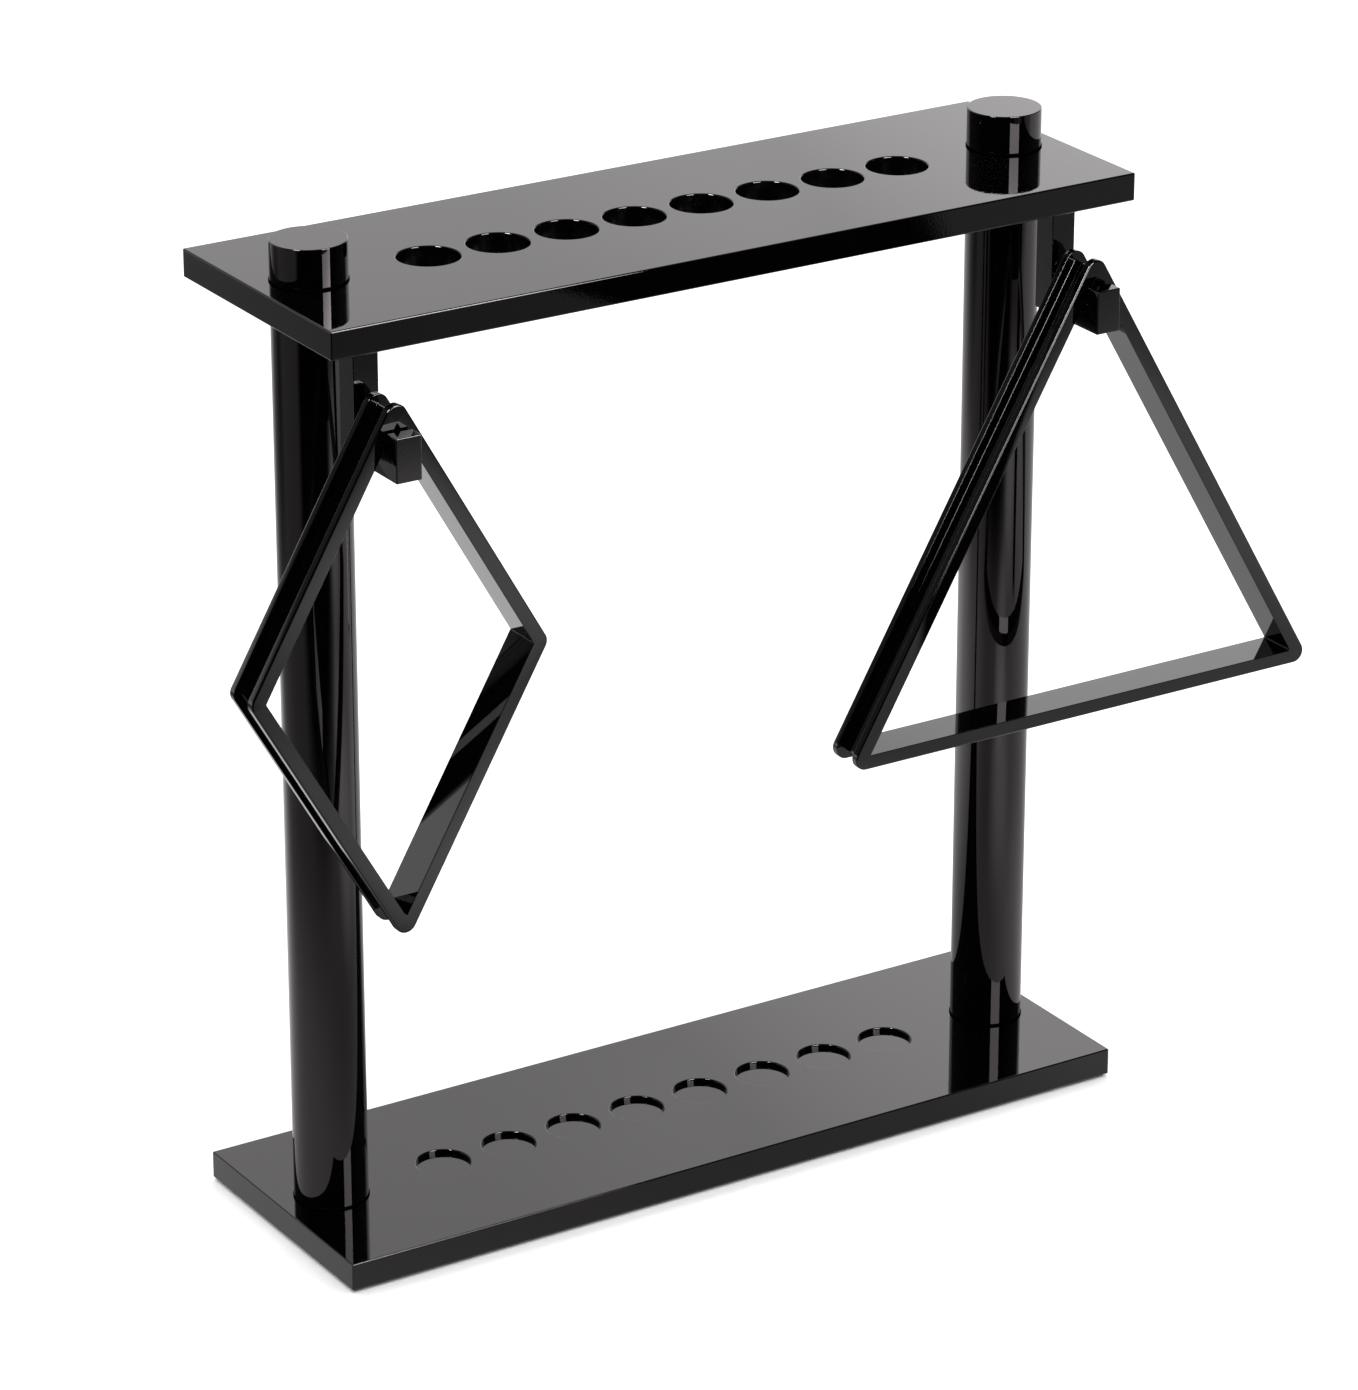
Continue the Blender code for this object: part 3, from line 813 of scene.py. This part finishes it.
# the shaded wedge of floor before the stand, black past all three edges: each edge's normal, signed
# distance from the origin and softness
FLOOR_WEDGE = [
    ((0.968, 0.252, 0.0), 0.385, 0.015),
    ((-0.870, -0.490, 0.0), -0.250, 0.015),
    ((0.545, -0.839, 0.0), 0.985, 0.035),
]
STRIP_SIZE = (0.50, 0.88)
STRIP_FOOT = Vector((0.20, -1.0, 0.42))
SIDE_SIZE = (0.55, 1.4)
SIDE_AZIMUTH = math.radians(-70)
SIDE_FOOT = out_from(SIDE_AZIMUTH) * 1.7 + Vector((0.0, 0.0, 1.3))


def stage_object(name, bm, mat):
    """Part of the studio."""
    obj = to_object(name, bm, mat)
    return obj


def glossy_only(obj):
    """Make a reflection card: seen in the gloss of the object, and by nothing else."""
    for ray in ("camera", "diffuse", "transmission", "volume_scatter", "shadow"):
        setattr(obj, "visible_" + ray, False)


def floor():
    """Pale seamless floor."""
    bm = bmesh.new()
    bmesh.ops.create_grid(bm, x_segments=1, y_segments=1, size=FLOOR_SIZE)
    mat = bpy.data.materials.new("pale_floor")
    mat.use_nodes = True
    shader = mat.node_tree.nodes["Principled BSDF"]
    shader.inputs["Base Color"].default_value = (0.93, 0.925, 0.925, 1.0)
    shader.inputs["Roughness"].default_value = 0.9
    shader.inputs["Specular IOR Level"].default_value = 0.0
    obj = stage_object("floor", bm, mat)
    obj.visible_glossy = False


class Glow:
    """Emission whose strength depends on the place on the card."""

    def __init__(self, name):
        self.mat = bpy.data.materials.new(name)
        self.mat.use_nodes = True
        self.mat.cycles.emission_sampling = "NONE"
        self.tree = self.mat.node_tree
        self.tree.nodes.clear()
        self.place = self.tree.nodes.new("ShaderNodeTexCoord").outputs["Object"]
        self.emission = self.tree.nodes.new("ShaderNodeEmission")
        self.emission.inputs["Color"].default_value = (1.0, 0.978, 0.985, 1.0)
        out = self.tree.nodes.new("ShaderNodeOutputMaterial")
        self.tree.links.new(self.emission.outputs[0], out.inputs["Surface"])

    def measure(self, operation, other):
        node = self.tree.nodes.new("ShaderNodeVectorMath")
        node.operation = operation
        self.tree.links.new(self.place, node.inputs[0])
        node.inputs[1].default_value = other
        return node.outputs["Value"]

    def along(self, direction):
        """How far the place lies along a direction."""
        return self.measure("DOT_PRODUCT", direction)

    def distance(self, centre):
        return self.measure("DISTANCE", centre)

    def step(self, source, low, high, out_low, out_high):
        return smooth_range(self.tree, source, low, high, out_low, out_high)

    def join(self, operation, first, *others):
        """One value from several, by an operation between each and the next."""
        result = first
        for other in others:
            node = self.tree.nodes.new("ShaderNodeMath")
            node.operation = operation
            self.tree.links.new(result, node.inputs[0])
            self.tree.links.new(other, node.inputs[1])
            result = node.outputs[0]
        return result

    def done(self, strength):
        self.tree.links.new(strength, self.emission.inputs["Strength"])
        return self.mat


def floor_card():
    """What the gloss sees of the floor: brighter behind and to the right, black by the camera."""
    glow = Glow("floor_glow")
    level = glow.step(glow.along(out_from(math.radians(120))), -1.1, 1.1, 0.28, 0.85)
    pools = [glow.step(glow.distance(centre), inner, outer, strength, 0.0)
             for centre, inner, outer, strength in FLOOR_POOLS]
    level = glow.join("ADD", level, *pools)
    off_camera = glow.step(glow.distance(out_from(VIEW_AZIMUTH) * 2.0), 1.05, 1.45, 0.0, 1.0)
    fade = glow.step(glow.along((0.0, -1.0, 0.0)), 1.15, 1.55, 1.0, 0.45)
    edges = [glow.step(glow.along(normal), edge - soft, edge + soft, 1.0, 0.0)
             for normal, edge, soft in FLOOR_WEDGE]
    lit = glow.join("MAXIMUM", *edges)
    bm = bmesh.new()
    bmesh.ops.create_grid(bm, x_segments=1, y_segments=1, size=FLOOR_SIZE)
    mat = glow.done(glow.join("MULTIPLY", level, off_camera, fade, lit))
    glossy_only(stage_object("floor_card", bm, mat))


def studio_dome():
    """What the gloss sees above the floor: bright wall behind, pale ceiling, dark towards the camera."""
    glow = Glow("dome_glow")

    def height(low, high, out_low, out_high):
        """Strength by height, from 0 at the floor to 1 overhead."""
        return glow.step(glow.along((0.0, 0.0, 1.0 / DOME_RADIUS)), low, high, out_low, out_high)

    def patch(azimuth, elevation, edge, core, strength):
        """Round patch; edge and core are cosines of the angle from its centre, which is in degrees."""
        towards = out_from(math.radians(azimuth), math.radians(elevation))
        return glow.step(glow.along(towards / DOME_RADIUS), edge, core, 0.0, strength)

    wall = patch(145, 20, 0.70, 0.93, 0.80)
    upper_wall = patch(165, 38, 0.90, 0.97, 1.20)
    lower_wall = glow.join("MINIMUM", height(0.28, 0.36, 1.30, 0.0), patch(215, 10, 0.50, 0.80, 1.30))
    ceiling = patch(0, 90, 0.80, 0.95, 0.35)
    fill = glow.step(glow.along(out_from(VIEW_AZIMUTH) / DOME_RADIUS), -0.3, 0.4, 0.12, 0.01)
    brightest = glow.join("MAXIMUM", wall, upper_wall, lower_wall, ceiling, fill)
    bm = bmesh.new()
    bmesh.ops.create_icosphere(bm, subdivisions=5, radius=DOME_RADIUS)
    mat = glow.done(glow.join("ADD", brightest, patch(125, 12, 0.86, 0.95, 0.98)))
    glossy_only(stage_object("studio_dome", bm, mat))


def softbox(name, size, foot, azimuth, low, high, dim, bright):
    """Upright card across an azimuth, hotter above a height: dim up to low, bright from high on."""
    width, height = size
    glow = Glow(name + "_glow")
    strength = glow.step(glow.along((0.0, 0.0, 1.0)), low, high, dim, bright)
    bm = bmesh.new()
    corners = [(-width / 2, 0.0), (width / 2, 0.0), (width / 2, height), (-width / 2, height)]
    bm.faces.new([bm.verts.new((x, 0.0, z)) for x, z in corners])
    obj = stage_object(name, bm, glow.done(strength))
    obj.location = foot
    obj.rotation_euler = (0.0, 0.0, azimuth)
    glossy_only(obj)


def overhead_light():
    """Large soft light above, which only the floor and the matt pieces see."""
    data = bpy.data.lights.new("overhead", "AREA")
    data.size = 2.4
    data.energy = 45.0
    obj = bpy.data.objects.new("overhead", data)
    obj.location = (0.3, 0.4, 2.6)
    obj.rotation_euler = (-obj.location).to_track_quat("-Z", "Y").to_euler()
    obj.visible_camera = False
    obj.visible_glossy = False
    bpy.context.scene.collection.objects.link(obj)


def white_world():
    """Even white light from all round."""
    world = bpy.data.worlds.new("white_studio")
    world.use_nodes = True
    background = world.node_tree.nodes["Background"]
    background.inputs["Color"].default_value = (1.0, 1.0, 1.0, 1.0)
    background.inputs["Strength"].default_value = 1.25
    bpy.context.scene.world = world
    bpy.context.scene.view_settings.view_transform = "Standard"


camera()
floor()
floor_card()
studio_dome()
# in front of the stand: the bright strip in the columns and the caps
softbox("strip_softbox", STRIP_SIZE, STRIP_FOOT, 0.0, low=0.50, high=0.68, dim=12.0, bright=36.0)
# to the left and above the stand: the bright lines on left-facing edges
softbox("side_softbox", SIDE_SIZE, SIDE_FOOT, SIDE_AZIMUTH, low=0.1, high=0.6, dim=20.0, bright=70.0)
overhead_light()
white_world()
